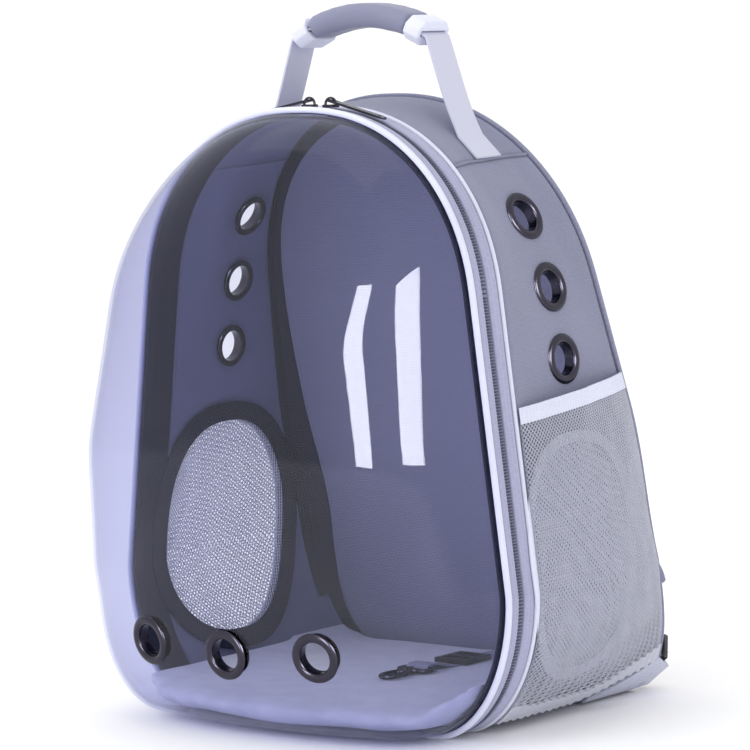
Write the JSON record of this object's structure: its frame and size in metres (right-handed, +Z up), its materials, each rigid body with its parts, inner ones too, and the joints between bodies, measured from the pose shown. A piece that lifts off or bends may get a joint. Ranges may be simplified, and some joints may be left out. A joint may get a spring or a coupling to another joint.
{
  "type": "bubble pet carrier backpack",
  "caption": "Soft-sided pet carrier backpack with a clear domed zip front, eyelet vents, mesh windows and pockets, floor pad, tether, carry handle and shoulder straps.",
  "frame": {"origin": "middle of the flat base, on the floor", "axes": "+Z up, -Y towards the clear front, +X to the right seen from the front"},
  "size_m": [0.3482, 0.3253, 0.4735],
  "materials": {
    "cloth": "woven matt cloth",
    "band": "light woven tape",
    "light": "pale webbing and piping",
    "dark": "dark binding tape",
    "mesh": "open diamond mesh",
    "net": "fine white net",
    "pad": "short fleece",
    "clear": "clear polished sheet with a lavender tint",
    "metal": "gunmetal gloss",
    "plastic": "black satin"
  },
  "bodies": {
    "carrier": {"rim_piping": "light", "front_gusset": "band", "zip_tape_front": "band", "zip_tape_back": "band", "zip_coil": "dark", "back_gusset": "band", "seam_piping": "light", "rim_binding_inside": "dark", "bubble": "clear", "bubble_eyelet_left": "metal", "bubble_eyelet_middle": "metal", "bubble_eyelet_right": "metal", "side_panel_right": "cloth", "window_net_right": "net", "window_binding_right": "dark", "side_eyelet_top_right": "metal", "side_eyelet_middle_right": "metal", "side_eyelet_low_right": "metal", "side_panel_left": "cloth", "window_net_left": "net", "window_binding_left": "dark", "side_eyelet_top_left": "metal", "side_eyelet_middle_left": "metal", "side_eyelet_low_left": "metal", "top_panel": "cloth", "bottom_panel": "cloth", "back_panel": "cloth", "back_binding_inside": "dark", "pocket_mesh_right": "mesh", "pocket_hem_right": "light", "pocket_mesh_left": "mesh", "pocket_hem_left": "light", "floor_pad": "pad", "handle_webbing": "light", "handle_grip": "cloth", "grip_end_right": "light", "grip_end_left": "light", "shoulder_strap_right": "cloth", "strap_lock_right": "plastic", "strap_webbing_right": "dark", "strap_tab_right": "light", "shoulder_strap_left": "cloth", "strap_lock_left": "plastic", "strap_webbing_left": "dark", "strap_tab_left": "light", "zip_slider_left": "metal", "zip_slider_right": "metal", "tether_strap": "band", "tether_slide": "plastic", "tether_hook": "metal"},
    "pull_left": {"zip_pull_left": "metal"},
    "pull_right": {"zip_pull_right": "metal"}
  },
  "joints": [
    {"name": "left_pull_hinge", "type": "hinge", "parent": "carrier", "child": "pull_left", "pos_m": [-0.001, -0.08765, 0.4108], "axis": [0, 1, 0], "range_deg": [0, 90]},
    {"name": "right_pull_hinge", "type": "hinge", "parent": "carrier", "child": "pull_right", "pos_m": [0.017, -0.08765, 0.4106], "axis": [0, -1, 0], "range_deg": [0, 90]}
  ]
}
